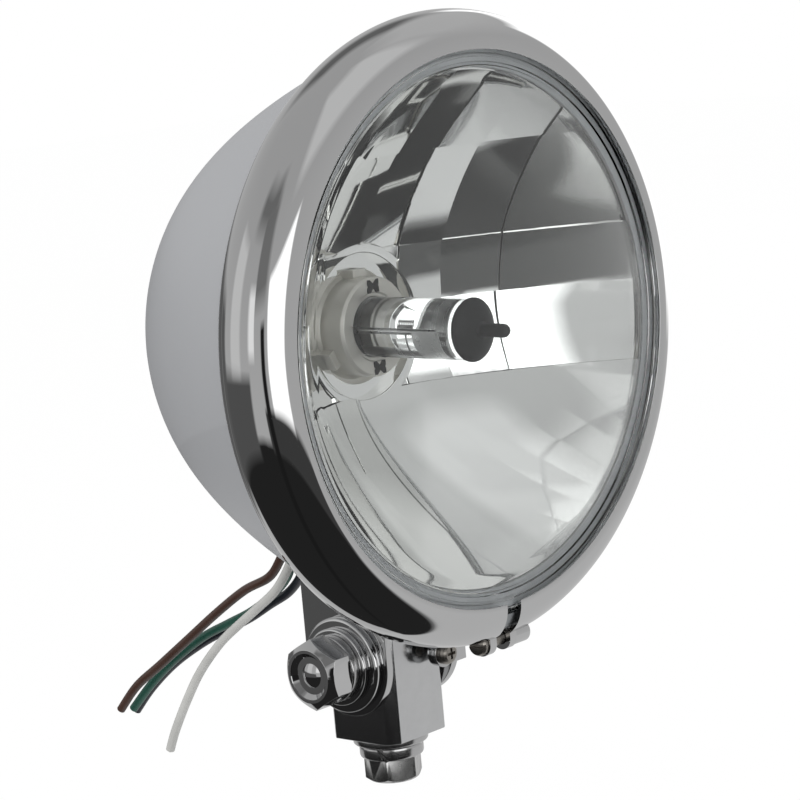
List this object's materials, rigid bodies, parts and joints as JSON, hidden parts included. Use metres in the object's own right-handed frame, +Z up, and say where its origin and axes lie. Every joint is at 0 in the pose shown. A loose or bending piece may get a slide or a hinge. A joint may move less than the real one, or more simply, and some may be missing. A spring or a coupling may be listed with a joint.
{
  "type": "round motorcycle headlight",
  "caption": "Round chrome motorcycle headlight: deep bowl, clamped trim ring, clear domed glass over a faceted reflector and bulb, on a tilting bracket with a bolted swivel block.",
  "frame": {"origin": "middle of the swivel block's underside, where the fork tab seats", "axes": "+Z up from the fork tab; -Y is the way the lamp faces, along its level axis; +X is to the right seen from in front with the lamp facing the viewer's side, along the pivot bolt"},
  "size_m": [0.1644, 0.1675, 0.2083],
  "materials": {
    "shell": "plated and polished",
    "bracket": "plated and polished",
    "grommet": "matt",
    "trim_ring": "plated and polished",
    "ring_tongue": "dull plated",
    "ring_screw": "dull plated",
    "ring_nut": "plated",
    "lens": "clear",
    "lens_seal": "grey sealing bead",
    "reflector": "bright mirror coat",
    "bulb_flange": "cream grey plated",
    "bulb_envelope": "clear quartz",
    "bulb_tip": "matt black coat",
    "filament_frame": "bare metal",
    "low_filament": "bare tungsten",
    "high_filament": "bare tungsten",
    "bulb_insulator": "cream ceramic look",
    "top_blade": "bare brass",
    "left_blade": "bare brass",
    "right_blade": "bare brass",
    "bulb_clip": "spring wire",
    "bulb_boot": "matt",
    "connector": "moulded",
    "brown_lead": "soft insulation",
    "green_lead": "soft insulation",
    "blue_lead": "soft insulation",
    "white_lead": "soft insulation",
    "swivel_block": "plated, satin",
    "pivot_bolt": "plated",
    "pivot_nut": "plated",
    "pivot_spring_washer": "bright plated",
    "pivot_flat_washer": "plated",
    "pivot_wide_washer": "plated",
    "pivot_head_washer": "plated",
    "mounting_bolt": "bright plated",
    "mounting_spring_washer": "bright plated",
    "mounting_flat_washer": "bright plated",
    "tab_screw": "dull plated",
    "tab_screw_washer": "bright plated"
  },
  "bodies": {
    "base": {"swivel_block": "swivel_block", "mounting_bolt": "mounting_bolt", "mounting_spring_washer": "mounting_spring_washer", "mounting_flat_washer": "mounting_flat_washer"},
    "head": {"shell": "shell", "bracket": "bracket", "grommet": "grommet", "trim_ring": "trim_ring", "ring_tongue": "ring_tongue", "ring_screw": "ring_screw", "ring_nut": "ring_nut", "lens": "lens", "lens_seal": "lens_seal", "reflector": "reflector", "bulb_flange": "bulb_flange", "bulb_envelope": "bulb_envelope", "bulb_tip": "bulb_tip", "filament_frame": "filament_frame", "low_filament": "low_filament", "high_filament": "high_filament", "bulb_insulator": "bulb_insulator", "top_blade": "top_blade", "left_blade": "left_blade", "right_blade": "right_blade", "bulb_clip": "bulb_clip", "bulb_boot": "bulb_boot", "connector": "connector", "brown_lead": "brown_lead", "green_lead": "green_lead", "blue_lead": "blue_lead", "white_lead": "white_lead", "pivot_bolt": "pivot_bolt", "pivot_nut": "pivot_nut", "pivot_spring_washer": "pivot_spring_washer", "pivot_flat_washer": "pivot_flat_washer", "pivot_wide_washer": "pivot_wide_washer", "pivot_head_washer": "pivot_head_washer", "tab_screw": "tab_screw", "tab_screw_washer": "tab_screw_washer"}
  },
  "joints": [
    {"name": "tilt", "type": "hinge", "parent": "base", "child": "head", "pos_m": [0, 0, 0.0225], "axis": [1, 0, 0], "range_deg": [-20, 20]}
  ]
}
